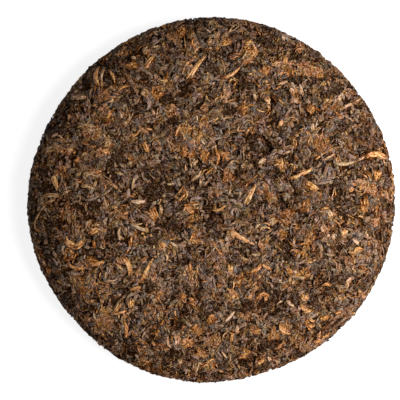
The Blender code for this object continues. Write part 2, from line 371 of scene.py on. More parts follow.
def drop_on_skin(points):
    """The nearest points of the skin, and the outward normals there."""
    shape = points.shape
    flat = points.reshape(-1, 3) - (AXIS[0], AXIS[1], 0.0)
    angle = np.arctan2(flat[:, 1], flat[:, 0])
    rows = np.column_stack([np.hypot(flat[:, 0], flat[:, 1]) / rim_scale(angle), flat[:, 2]])
    along = np.empty(len(rows))
    for start in range(0, len(rows), ROWS_AT_ONCE):
        part = rows[start:start + ROWS_AT_ONCE]
        near = ((part[:, None] - SECTION[None]) ** 2).sum(axis=2).argmin(axis=1)
        ahead = ((part - SECTION[near]) * TANGENT[near]).sum(axis=1)
        along[start:start + ROWS_AT_ONCE] = ALONG[near] + ahead
    found, normals = place_on_skin(along, angle)
    found -= normals * cleft_depth(found)[:, None]
    return found.reshape(shape), normals.reshape(shape)

print("clefts in mm:", [round(np.linalg.norm(end - start) / MM, 1) for start, end in CLEFTS])

# %% [markdown]
# ## Where the strips lie
# Leaf falls into the press in small bundles, because one rolled leaf splits into strips that
# lie side by side. Places drawn singly would give an even carpet, so the bundles are drawn first,
# evenly by area over a part of the skin, and then a few strips close to each, nearly parallel.

# %% Draw places for strips
FACE_AND_RIM = (0.0, HEEL_ALONG)
BACK = (HEEL_ALONG, ALONG[-1])
FULL_TURN = 2 * math.pi
SLANT = (0.61, 0.36, 0.70)  # headings are counted from a side square to this

def draw_places(count, zone, draw):
    """Points spread evenly over a zone of the skin, and the normals there."""
    inside = (ALONG >= zone[0]) & (ALONG <= zone[1])
    share = np.cumsum(np.where(inside, SECTION[:, 0], 0.0))
    along = np.interp(draw.random(count) * share[-1], share, ALONG)
    return place_on_skin(along, draw.random(count) * FULL_TURN)

def headings_at(normals, turn):
    """Unit vectors along the skin, turned by an angle about the normals."""
    side = unit(np.cross(normals, SLANT))
    return np.cos(turn)[:, None] * side + np.sin(turn)[:, None] * np.cross(normals, side)

def laid_flat(ahead, normals):
    """Headings without the part that points out of the skin."""
    return unit(ahead - normals * (ahead * normals).sum(axis=1, keepdims=True))

def bundled_places(count, zone, in_bundle, spread, fan, draw):
    """Places and headings of strips in bundles, and the number of the bundle of each strip."""
    bundles = max(1, round(count / in_bundle))
    points, normals = draw_places(bundles, zone, draw)
    turn = draw.random(bundles) * FULL_TURN
    pick = draw.integers(0, bundles, count)
    ahead = headings_at(normals, turn)[pick]
    aside = np.cross(normals[pick], ahead)
    ahead_by = draw.normal(0, spread[0], count)[:, None]
    aside_by = draw.uniform(-spread[1], spread[1], count)[:, None]
    points, normals = drop_on_skin(points[pick] + ahead * ahead_by + aside * aside_by)
    fanned = draw.normal(0, fan, count)[:, None]
    ahead = laid_flat(ahead * np.cos(fanned) + aside * np.sin(fanned), normals)
    return points, normals, ahead, pick

# %% [markdown]
# ## From a template to a thousand strips
# One strip is modelled once, straight and one unit long, wide and high. To lay a thousand of
# it, a line of stations is bent over the skin for each strip, and the template's points are
# hung on those stations: along the line, across it and up along the normal. A roll tips a strip
# to one side, so that its facets catch the light one by one. Curves with a bevel could make
# strips too, but all would be equally round.

# %% Bend the lines and hang the templates on them
STATIONS = 7
STATION_PLACES = np.linspace(-1, 1, STATIONS)  # -1 and 1 are the ends of a strip
LAST_PLACE = STATIONS - 1.001  # just before the last station
GROUND_GAP = 0.02 * MM  # no leaf reaches lower: the press has flattened the back

def bent_lines(points, normals, ahead, length, bend, hook):
    """Stations along strips that turn by bend over their length, and by hook at one end."""
    middle = (STATION_PLACES[1:] + STATION_PLACES[:-1]) / 4
    turn = bend[:, None] * middle + hook[:, None] * (middle + 0.5) ** 3
    steps = np.stack([np.cos(turn), np.sin(turn)]) * (length[:, None] / (STATIONS - 1))
    way = np.concatenate([np.zeros((2, len(points), 1)), np.cumsum(steps, axis=2)], axis=2)
    x, y = (way - way[:, :, STATIONS // 2, None])[..., None]
    aside = np.cross(normals, ahead)
    return drop_on_skin(points[:, None] + ahead[:, None] * x + aside[:, None] * y)

def hang(template, lines, normals, width, height, lift, roll=0.0):
    """Points of every strip: the template's, hung on each line and rolled to one side."""
    aside = np.cross(normals, unit(np.gradient(lines, axis=1)))
    place = np.clip((template.points[:, 0] + 0.5) * (STATIONS - 1), 0, LAST_PLACE)
    first = place.astype(int)
    rest = (place - first)[None, :, None]

    def between(values):
        return values[:, first] * (1 - rest) + values[:, first + 1] * rest

    level = between(lift[..., None])[..., 0] + template.points[None, :, 2] * height[:, None]
    out = template.points[None, :, 1] * width[:, None]
    level += out * np.reshape(roll, (-1, 1))
    points = between(lines) + between(normals) * level[..., None] + between(aside) * out[..., None]
    points[..., 2] = np.maximum(points[..., 2], GROUND_GAP)
    return points

# %% [markdown]
# ## One piece for each kind
# The hung strips of one kind are gathered in a heap and joined in one mesh. Each strip carries
# its own shade, random and with painted shade where it lies deep, in a cleft or down the rim, the
# height of each point in the strip, which the finish uses for painted shade on the sides, and a
# map that runs along its fibres, which the finish reads. The shreds stay faceted, because broken
# leaf has sharp folds.

# %% Join everything of one kind in a mesh
MAP_OFFSET = 0.4  # the fibres of a strip start at random within this much of the map

def dress(mesh, finish, fibres, **values):
    """Gives a mesh its finish, its map of fibres and its values for each point."""
    corners = np.empty(len(mesh.loops), np.int32)
    mesh.loops.foreach_get("vertex_index", corners)
    layer = mesh.uv_layers.new(name="fibres")
    layer.data.foreach_set("uv", fibres[corners].astype(np.float32).ravel())
    for name, value in values.items():
        layer = mesh.attributes.new(name, "FLOAT", "POINT")
        layer.data.foreach_set("value", value.astype(np.float32))
    mesh.materials.append(finish)

def make_piece(name, mesh):
    """A piece of the cake."""
    piece = new_object(name, mesh)
    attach(piece, "root")
    print(name, "has", len(mesh.loops) - 2 * len(mesh.polygons), "triangles")
    return piece

class Heap:
    """Strips of one kind, gathered before they are joined in one piece."""

    def __init__(self, name, finish):
        self.name, self.finish = name, finish
        self.points, self.faces, self.shades, self.ridges, self.maps = [], [], [], [], []
        self.size = 0

    def add(self, template, points, shade, length, width, draw, fade=0.0):
        """Adds hung strips, each darker by fade at its ends."""
        count, each = points.shape[:2]
        starts = self.size + np.arange(count) * each
        self.size += count * each
        self.points.append(points.reshape(-1, 3))
        self.faces += [
            tuple(corner + start for corner in face)
            for start in starts.tolist()
            for face in template.faces
        ]
        faded = fade * abs(2 * template.points[:, 0]) ** 2
        self.shades.append(np.repeat(shade, each) - np.tile(faded, count))
        self.ridges.append(np.tile(template.points[:, 2] + 0.5, count))
        offset = draw.random((count, 1, 2)) * MAP_OFFSET
        size = np.stack([length, width], axis=1)[:, None]
        self.maps.append((template.points[None, :, :2] * size + offset).reshape(-1, 2))

    def join(self, faceted=False):
        mesh = bpy.data.meshes.new(self.name)
        mesh.from_pydata(np.concatenate(self.points).tolist(), [], self.faces)
        dress(mesh, self.finish, np.concatenate(self.maps),
              shade=np.concatenate(self.shades), ridge=np.concatenate(self.ridges))
        if not faceted:
            mesh.shade_smooth()
        return make_piece(self.name, mesh)

# %% [markdown]
# ## The templates
# A strip starts as a cone tool's cylinder along X, cut into rings. Each ring is scaled for the
# taper, made uneven, and turned a little further than the last, so that its ridges wind round
# the strip as they do in rolled leaf. A whole leaf starts as a grid that is folded like a fan and
# closed down to a flat under side.

# %% Model the templates
TAPER_POWER = 2.5  # a high power keeps the middle of a strip full
KNOB_PLACES = (2.3, 1.7)  # knobs along and across a leaf
LEAF_BODY, LEAF_FOLD, LEAF_KNOB = 0.56, 0.30, 0.14  # what makes up the height of a leaf
LEAF_EDGE = 0.55  # how far a leaf sinks toward its edges
LEAF_TIP = 0.30  # width of a leaf at its ends
RAGGED = 0.07  # how far the outline of a leaf goes in and out
RAGS = 8  # on each side

class Template:
    """Points and faces of one small shape, read from a bmesh."""

    def __init__(self, shape):
        bmesh.ops.recalc_face_normals(shape, faces=shape.faces)
        shape.verts.ensure_lookup_table()
        shape.verts.index_update()
        self.points = np.array([vert.co[:] for vert in shape.verts])
        self.faces = [tuple(vert.index for vert in face.verts) for face in shape.faces]
        shape.free()

def rolled(sides, rings, taper, twist, ribs, draw, lean=0.0, uneven=0.12):
    """A rolled strip along X, from -0.5 to 0.5, thinner at its ends by taper."""
    shape = bmesh.new()
    bmesh.ops.create_cone(
        shape, cap_ends=True, cap_tris=False, segments=sides, radius1=0.5, radius2=0.5, depth=1.0
    )
    long_edges = [edge for edge in shape.edges if edge.calc_length() > 0.9]
    bmesh.ops.subdivide_edges(shape, edges=long_edges, cuts=rings - 2, use_grid_fill=True)
    bmesh.ops.rotate(shape, verts=shape.verts, matrix=Matrix.Rotation(math.pi / 2, 3, "Y"))
    rib_scale = 1 + ribs * draw.uniform(-1, 1, sides)
    for vert in shape.verts:
        share = vert.co.x + 0.5
        round_place = math.atan2(vert.co.z, vert.co.y) / FULL_TURN * sides
        ring = 1 - taper * abs(2 * share - 1) ** TAPER_POWER
        ring *= (1 + uneven * draw.uniform(-1, 1)) * (1 - lean * share)
        spoke = rib_scale[round(round_place) % sides]
        turned = Matrix.Rotation(twist * share, 3, "X") @ Vector((0, vert.co.y, vert.co.z))
        vert.co = Vector((vert.co.x, turned.y * ring * spoke, turned.z * ring * spoke))
    return Template(shape)

def crumpled(along, across, folds, draw):
    """A pressed leaf along X: a blanket with folds that run along it, closed below."""
    shape = bmesh.new()
    bmesh.ops.create_grid(shape, x_segments=along, y_segments=across, size=0.5)
    rim = [edge for edge in shape.edges if edge.is_boundary]
    skirt = bmesh.ops.extrude_edge_only(shape, edges=rim)["geom"]
    under = [part for part in skirt if isinstance(part, bmesh.types.BMVert)]
    bmesh.ops.translate(shape, verts=under, vec=(0, 0, -1))
    rim = [edge for edge in shape.edges if edge.is_boundary]
    bmesh.ops.holes_fill(shape, edges=rim, sides=0)
    swing, sway = draw.uniform(-0.3, 0.3), draw.uniform(1.5, 4.0)
    start, lean = draw.uniform(0, FULL_TURN), draw.uniform(-0.5, 0.5)
    ragged = draw.uniform(-RAGGED, RAGGED, (2, RAGS))
    for vert in shape.verts:
        x, y, z = vert.co
        bend = swing * math.sin(sway * x + start) + lean * x
        fold = 1 - 2 * abs(math.sin(folds * math.pi * (y + bend) + start))
        knob = math.cos(FULL_TURN * (KNOB_PLACES[0] * x + KNOB_PLACES[1] * y) + 2 * start)
        top = (LEAF_BODY + LEAF_FOLD * fold + LEAF_KNOB * knob) * (1 - LEAF_EDGE * abs(2 * y) ** 3)
        outline = LEAF_TIP + (1 - LEAF_TIP) * max(0.0, 1 - abs(2 * x) ** 2.6) ** 0.6
        outline += ragged[int(y > 0)][round((x + 0.5) * (RAGS - 1))]
        vert.co.y = y * outline
        vert.co.z = -0.5 if z < -0.5 else top - 0.5
    return Template(shape)

def variants(count, **form):
    return [rolled(draw=template_draw, **form) for _ in range(count)]

template_draw = np.random.default_rng(11)
shred_forms = variants(16, sides=4, rings=4, taper=0.5, twist=1.0, ribs=0.40, uneven=0.25)
strand_forms = variants(8, sides=5, rings=6, taper=0.7, twist=2.0, ribs=0.25)
leaf_forms = [crumpled(5, 7, folds, template_draw) for folds in (2.0, 2.4, 2.8, 2.2, 2.6, 3.0)]
THICK = {"sides": 9, "rings": 9}
tip_forms = variants(6, taper=0.45, twist=0.6, ribs=0.30, lean=0.5, uneven=0.10, **THICK)
stem_forms = variants(8, taper=0.6, twist=0.5, ribs=0.28, uneven=0.14, **THICK)
flake_forms = variants(8, taper=0.9, twist=1.0, ribs=0.45, lean=0.2, uneven=0.22, **THICK)
print("faces of a shred, a strand, a leaf, a tip and a stem:", [
    len(forms[0].faces) for forms in (shred_forms, strand_forms, leaf_forms, tip_forms, stem_forms)
])

# %% [markdown]
# ## One recipe for all leaf
# Dark leaf, brown leaf and golden tips differ in colour but not in kind: each strip has its own
# shade, fine streaks run along its fibres, the sides of a strip carry painted shade and its top is
# rubbed paler, and the whole cake is mottled where one kind of leaf lies thicker. The recipe takes
# a ramp of colours from the painted shade of the gaps to the rubbed ridges. Two slow noises then
# lean the colour to purple or olive, and to a painted grey sheen or the rust of half-ripe leaf.

# %% Write the recipe
FIBRES_PER_METRE = (300, 2300, 1)  # along a strip, across it
MOTTLE_SCALE, GRIT_SCALE, HUE_SCALE, SHEEN_AND_RUST_SCALE = 55.0, 1100.0, 240.0, 340.0
SHADE_PART, STREAK_PART, MOTTLE_PART, GRIT_PART = 0.40, 1.90, 0.56, 1.40
TONE_LEVEL = 1.63
HUE_STOPS = ((0.40, (1.03, 0.955, 0.94)), (0.60, (0.99, 1.02, 0.88)))  # purple, olive
# The grey is a painted sheen on the leaf; the rust is the colour of half-ripe leaf
SHEEN_AND_RUST_STOPS = (
    (0.36, (0.95, 1.08, 1.30)), (0.46, (1.0, 1.0, 1.0)),  # grey, plain
    (0.54, (1.0, 1.0, 1.0)), (0.64, (1.05, 0.91, 0.54)),  # plain, rust
)
ROUGHER = 0.25  # how much rougher the pale streaks are than the dark ones
LEAF_SHINE = 0.05
SHINE_TINT = (1.0, 0.62, 0.36, 1.0)

def leaf_finish(name, stops, roughness, grain, edge, crest, sheen_and_rust_strength):
    recipe = Recipe(name)

    def noise(place, scale, detail):
        inputs = {"Vector": place, "Scale": scale, "Detail": detail}
        return recipe.add("ShaderNodeTexNoise", None, inputs, "Fac")

    def ramp(stops, value):
        return recipe.add("ShaderNodeValToRGB", {"stops": stops}, {"Fac": value}, "Color")

    shade = recipe.add("ShaderNodeAttribute", {"attribute_name": "shade"}, output="Fac")
    ridge = recipe.add("ShaderNodeAttribute", {"attribute_name": "ridge"}, output="Fac")
    fibres = recipe.add("ShaderNodeUVMap", {"uv_map": "fibres"})
    stretched = recipe.add("ShaderNodeMapping", None, {"Vector": fibres, "Scale": FIBRES_PER_METRE})
    place = recipe.add("ShaderNodeTexCoord", output="Object")
    streak = noise(stretched, 1.0, 2.0)
    grit = noise(place, GRIT_SCALE, 2.0)
    # edge * (ridge - crest) paints shade on the low sides of each strip and makes its top paler
    tone = SHADE_PART * shade + STREAK_PART * streak + edge * (ridge - crest)
    tone = tone + MOTTLE_PART * noise(place, MOTTLE_SCALE, 3.0) + GRIT_PART * grit - TONE_LEVEL
    colour = ramp(stops, tone)
    hue = ramp(HUE_STOPS, noise(place, HUE_SCALE, 1.0))
    sheen_and_rust_tint = ramp(SHEEN_AND_RUST_STOPS, noise(place, SHEEN_AND_RUST_SCALE, 2.0))
    for tint, strength in ((hue, 1.0), (sheen_and_rust_tint, sheen_and_rust_strength)):
        colour = recipe.add(
            "ShaderNodeMix", {"data_type": "RGBA", "blend_type": "MULTIPLY"},
            {"Factor": strength, "A": colour, "B": tint}, "Result"
        )
    height = {"Height": streak + grit, "Distance": grain, "Strength": 1.0}
    return recipe.set(
        Base_Color=colour,
        Roughness=roughness + ROUGHER * (streak - 0.5),
        Normal=recipe.add("ShaderNodeBump", None, height, "Normal"),
        Specular_IOR_Level=LEAF_SHINE,
        Specular_Tint=SHINE_TINT,
    )

# %% [markdown]
# ## The five finishes
# Fermented leaf is nearly black, with a grey sheen painted into the colours of its upper stops,
# brown where it is thinner and redder where it ripened less. Stems are tan and the downy tips
# golden, and both keep their colour better.

# %% Mix the leaf finishes
# Gaps and the sides of strips reach the lower stops through painted shade
STOP_PLACES = (0.0, 0.25, 0.5, 1.0)  # in a gap, on a side, on top, on a rubbed ridge
# The upper stops of dark leaf are greyed as a painted sheen
DARK_COLOURS = (
    (0.004, 0.0008, 0.0001), (0.0200, 0.0064, 0.0009),
    (0.0550, 0.0308, 0.0192), (0.146, 0.109, 0.089),
)
BROWN_COLOURS = (
    (0.010, 0.002, 0.0002), (0.0465, 0.0130, 0.0022),
    (0.111, 0.0545, 0.0278), (0.240, 0.164, 0.124),
)
RUSSET_COLOURS = (
    (0.018, 0.004, 0.0004), (0.075, 0.0185, 0.0024),
    (0.176, 0.0715, 0.0248), (0.376, 0.214, 0.124),
)
TAN_COLOURS = (
    (0.030, 0.010, 0.001), (0.095, 0.0385, 0.0105),
    (0.220, 0.121, 0.061), (0.470, 0.334, 0.238),
)
GOLD_COLOURS = (
    (0.040, 0.011, 0.001), (0.130, 0.0410, 0.0075),
    (0.290, 0.127, 0.043), (0.560, 0.352, 0.196),
)
# edge sets how much painted shade darkens the sides of a strip and how much paler its top is
COARSE = {"grain": 0.50 * MM, "edge": 0.30, "crest": 0.6, "sheen_and_rust_strength": 1.0}
DOWNY = {"grain": 0.20 * MM, "edge": 0.8, "crest": 0.85, "sheen_and_rust_strength": 0.3}
dark_finish, brown_finish, russet_finish, tan_finish, gold_finish = [
    leaf_finish(name, tuple(zip(STOP_PLACES, colours)), roughness, **texture)
    for name, colours, roughness, texture in (
        ("dark leaf", DARK_COLOURS, 0.50, COARSE), ("brown leaf", BROWN_COLOURS, 0.58, COARSE),
        ("russet leaf", RUSSET_COLOURS, 0.58, COARSE), ("tan stem", TAN_COLOURS, 0.60, DOWNY),
        ("golden tip", GOLD_COLOURS, 0.55, DOWNY),
    )
]
print("nodes in a finish:", len(dark_finish.node_tree.nodes))

# %% [markdown]
# ## The bed
# Under the strips lies a dark bed that gives the cake its form and closes every gap. It is the
# section spun once round the axis, then pushed in and out a little.

# %% Spin the bed
BED_DEPTH = 0.60 * MM  # the bed lies this far under the skin
BED_STEPS = 280
BED_SPACING = 2.0 * MM
BED_ROUGH = 0.3 * MM
BED_SHADE = 0.6  # the palest spots of the bed

def spun_section():
    """The section turned once round, as a mesh."""
    shape = bmesh.new()
    section = evenly_spaced(SECTION, BED_SPACING)
    section[0, 0] = section[-1, 0] = 0.0
    verts = [shape.verts.new((reach, 0.0, height)) for reach, height in section]
    edges = [shape.edges.new(pair) for pair in zip(verts, verts[1:])]
    bmesh.ops.spin(
        shape, geom=verts + edges, cent=(0, 0, 0), axis=(0, 0, 1), dvec=(0, 0, 0),
        angle=FULL_TURN, steps=BED_STEPS, use_merge=True,
    )
    bmesh.ops.remove_doubles(shape, verts=shape.verts, dist=0.01 * MM)
    bmesh.ops.recalc_face_normals(shape, faces=shape.faces)
    mesh = bpy.data.meshes.new("leaf_bed")
    shape.to_mesh(mesh)
    shape.free()
    return mesh

def make_bed(draw):
    mesh = spun_section()
    points = np.empty(len(mesh.vertices) * 3)
    mesh.vertices.foreach_get("co", points)
    points, normals = drop_on_skin(points.reshape(-1, 3) + (AXIS[0], AXIS[1], 0.0))
    rough = draw.uniform(-1, 1, len(points)) * BED_ROUGH
    points -= normals * (BED_DEPTH + rough)[:, None]
    mesh.vertices.foreach_set("co", points.ravel())
    mesh.update()
    dress(mesh, dark_finish, points[:, :2], shade=draw.random(len(points)) * BED_SHADE)
    return make_piece("leaf_bed", mesh)

bed = make_bed(np.random.default_rng(3))
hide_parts("tea_cake")

# %% [markdown]
# ## Laying a kind of leaf
# Every kind is laid by the same function. It draws the bundles, the lengths and the bends,
# lets the ends of each strip dive under their neighbours, and keeps the tops of all strips
# within a thin layer, because the press has made them flush. The deeper a strip lies, the darker
# it is painted, as painted shade under the strips above it. Strips in a cleft and down the rim,
# where the skin turns away from the light, get painted shade too. On the back no strip reaches
# below the flat ring that the cake rests on.

# %% Lay strips of one kind
FLUSH = {FACE_AND_RIM: 0.45 * MM, BACK: -0.05 * MM}  # how far the highest strips stand out
HOOK = 3.2  # how far the end of a hooked strip turns
BEND_SPREAD = 0.35  # how far the bends in one bundle differ
DIVE = (0.1, 0.7)  # mm that the ends of a strip dive
UNEVEN = 0.05 * MM
SHADE_SPREAD = 0.18
ROLL = 0.30  # how far strips lean to one side, as a slope
# painted shade of strips that lie deep under others
DEEP_PAINTED_SHADE = 0.5  # how much darker the deepest strips are than the highest
# painted shade of a cleft on the strips that lie in it
CLEFT_PAINTED_SHADE = 0.9
# painted shade down the rim, where the skin turns away from the light
RIM_PAINTED_SHADE = 0.25
RIM_START = SKIN_HEIGHT - 0.6 * MM
RIM_FADE = 5 * MM
RIM_END = 2 * MM

def rim_share(points):
    """How far points lie down the rim: 0 on the face, 1 some way below its edge."""
    return np.clip((RIM_START - points[:, 2]) / RIM_FADE, 0, 1) * (points[:, 2] > RIM_END)

def hang_all(heap, forms, form, lines, normals, lengths, widths, heights, lift, shades, draw):
    """Hangs on every line the form that was drawn for it, rolled to one side by chance."""
    rolls = draw.normal(0, ROLL, len(lines))
    for number, template in enumerate(forms):
        own = form == number
        placed = hang(
            template, lines[own], normals[own], widths[own], heights[own], lift[own], rolls[own]
        )
        heap.add(template, placed, shades[own], lengths[own], widths[own], draw)

def lay_kind(heap, count, zone, draw, forms, length, width, height, depth, bend=0.7, hooked=0.12,
             in_bundle=5, spread=(2.0 * MM, 2.2 * MM), fan=0.22, tilt=0.1 * MM, palest=1.0):
    """Lays count strips on a zone of the skin and gathers them in a heap."""
    points, normals, ahead, bundle = bundled_places(count, zone, in_bundle, spread, fan, draw)
    form = draw.integers(0, len(forms), count)
    lengths = draw.uniform(*length, count)
    widths = draw.uniform(*width, count)
    heights = draw.uniform(*height, count)
    bends = draw.normal(0, bend, count)[bundle] + draw.normal(0, BEND_SPREAD, count)
    hooks = np.where(draw.random(count) < hooked, draw.choice((-1, 1), count) * HOOK, 0.0)
    lines, line_normals = bent_lines(points, normals, ahead, lengths, bends, hooks)
    sunk = draw.uniform(0, depth, count)
    dive = draw.uniform(*DIVE, count)[:, None] * MM
    lift = (FLUSH[zone] - heights / 2 - sunk)[:, None] - dive * STATION_PLACES**4
    lift += draw.normal(0, UNEVEN, lift.shape) + draw.normal(0, tilt, (count, 1)) * STATION_PLACES
    shades = palest * draw.random(count)[bundle] + draw.normal(0, SHADE_SPREAD, count)
    # Painted shade: darker down the rim, deep under other strips and in a cleft
    shades = np.clip(shades, 0, palest) - RIM_PAINTED_SHADE * rim_share(points)
    shades -= DEEP_PAINTED_SHADE * (sunk / depth - 0.5) + CLEFT_PAINTED_SHADE * cleft_depth(points) / CLEFT_DEPTH
    hang_all(heap, forms, form, lines, line_normals, lengths, widths, heights, lift, shades, draw)

def scatter(name, finish, on_face, on_back, kind, **habit):
    """Lays one kind on the face and the rim, then on the back, and joins it in a piece."""
    heap = Heap(name, finish)
    for count, zone in ((on_face, FACE_AND_RIM), (on_back, BACK)):
        lay_kind(heap, count, zone, strip_draw, **kind, **habit)
    return heap.join(faceted=kind["forms"] is shred_forms)

strip_draw = np.random.default_rng(357)

# %% [markdown]
# ## Shreds
# Most of the mat is broken leaf a few millimetres long. A ground of single shreds closes the
# bed, dark and brown ones lie on it in loose bundles, and the redder ones keep together in
# patches where a leaf broke up. They cover the face and the rim about three deep, and the back
# once. Smooth shading would make them look like grains of rice, so each keeps its facets.

# %% Lay the shreds
SHRED_LENGTH = (2.0 * MM, 5.5 * MM)
SHRED_WIDTH = (0.9 * MM, 2.8 * MM)
SHRED_HEIGHT = (0.30 * MM, 0.65 * MM)
SHREDS = {
    "forms": shred_forms, "length": SHRED_LENGTH, "width": SHRED_WIDTH, "height": SHRED_HEIGHT,
    "depth": 0.45 * MM, "hooked": 0.2, "tilt": 0.15 * MM,
}
EVEN = {"in_bundle": 1, "spread": (1.0 * MM, 1.0 * MM), "fan": 1.0, "bend": 1.3}
LOOSE = {"in_bundle": 4, "spread": (2.6 * MM, 2.2 * MM), "fan": 0.6, "bend": 1.3}
CLOSE = {"in_bundle": 14, "spread": (2.6 * MM, 3.6 * MM), "fan": 0.5, "bend": 1.2}
scatter("ground_shreds", brown_finish, 3200, 2200, SHREDS, **EVEN)
scatter("dark_shreds", dark_finish, 5000, 1900, SHREDS, **LOOSE)
scatter("brown_shreds", brown_finish, 4600, 1700, SHREDS, **LOOSE)
scatter("russet_shreds", russet_finish, 1250, 450, SHREDS, **CLOSE)
scatter("tan_shreds", tan_finish, 240, 100, SHREDS, in_bundle=1.5, bend=1.3, palest=0.6)

# %% [markdown]
# ## Strips
# Longer strips run through the shreds: leaf rolled tight, dark or brown, and thin golden ones
# where a tip was rolled in. Broader ones that lie high and curl are half-opened leaves.

# %% Lay the strips
STRANDS = {
    "forms": strand_forms, "length": (4 * MM, 10 * MM), "height": (0.4 * MM, 0.75 * MM),
    "hooked": 0.06,
}
STRAND_WIDTH = (0.6 * MM, 1.4 * MM)
TIGHT = {"width": STRAND_WIDTH, "bend": 1.3, "in_bundle": 2}
CURLED = {"width": (1.4 * MM, 2.5 * MM), "depth": 0.2 * MM, "bend": 1.6, "in_bundle": 1.5}
scatter("dark_strands", dark_finish, 550, 200, STRANDS, depth=0.5 * MM, **TIGHT)
scatter("brown_strands", brown_finish, 800, 250, STRANDS, depth=0.45 * MM, **TIGHT)
scatter("curled_leaves", brown_finish, 320, 90, STRANDS, **CURLED)
scatter("tan_curls", tan_finish, 170, 40, STRANDS, palest=0.3, **CURLED)
scatter("golden_strands", gold_finish, 440, 120, STRANDS, width=STRAND_WIDTH,
        depth=0.25 * MM, bend=1.5, in_bundle=1.6, palest=0.5)

# %% [markdown]
# ## Crumpled leaves
# Under and between the strips lie whole leaves, pressed flat and wrinkled. They show as darker or
# browner patches with fine folds.

# %% Lay the crumpled leaves
LEAVES = {
    "forms": leaf_forms, "length": (5 * MM, 10 * MM), "width": (3.0 * MM, 5.5 * MM),
    "height": (0.8 * MM, 1.2 * MM), "depth": 0.6 * MM, "bend": 0.5, "hooked": 0.0, "in_bundle": 1.5,
}
scatter("dark_leaves", dark_finish, 220, 150, LEAVES)
scatter("brown_leaves", brown_finish, 180, 130, LEAVES)

# %% [markdown]
# ## Golden tips and stems
# The buds of the plant stay golden after the dark leaf has fermented. They lie on top and show
# best, so they are laid last and highest.

# %% Lay the tips and the stems
TIPS = {
    "forms": tip_forms, "length": (3 * MM, 8 * MM), "width": (0.7 * MM, 1.6 * MM),
    "height": (0.4 * MM, 0.8 * MM), "in_bundle": 1.2,
}
STEMS = {
    "forms": stem_forms, "length": (5 * MM, 13 * MM), "width": (0.6 * MM, 1.2 * MM),
    "height": (0.5 * MM, 0.8 * MM), "in_bundle": 1.2,
}
BACK_DEPTH = 0.2 * MM
tips = Heap("golden_tips", gold_finish)
lay_kind(tips, 70, FACE_AND_RIM, strip_draw, **TIPS,
         depth=0.3 * MM, bend=0.9, hooked=0.2, palest=0.7)
lay_kind(tips, 40, BACK, strip_draw, depth=BACK_DEPTH, **TIPS)
stems = Heap("tan_stems", tan_finish)
lay_kind(stems, 90, FACE_AND_RIM, strip_draw, **STEMS,
         depth=0.4 * MM, bend=0.9, hooked=0.1, palest=0.35)
lay_kind(stems, 30, BACK, strip_draw, depth=BACK_DEPTH, **STEMS)
print("points of the scattered tips and stems:", tips.size, stems.size)

# %% [markdown]
# ## The strips that can be told apart
# The larger strips are laid one by one where the picture shows them. Their routes are points of
# the picture, turned into places on the face. A tip is widest near its start and runs out
# thin; a stem keeps its width; a leaf is short and broad.

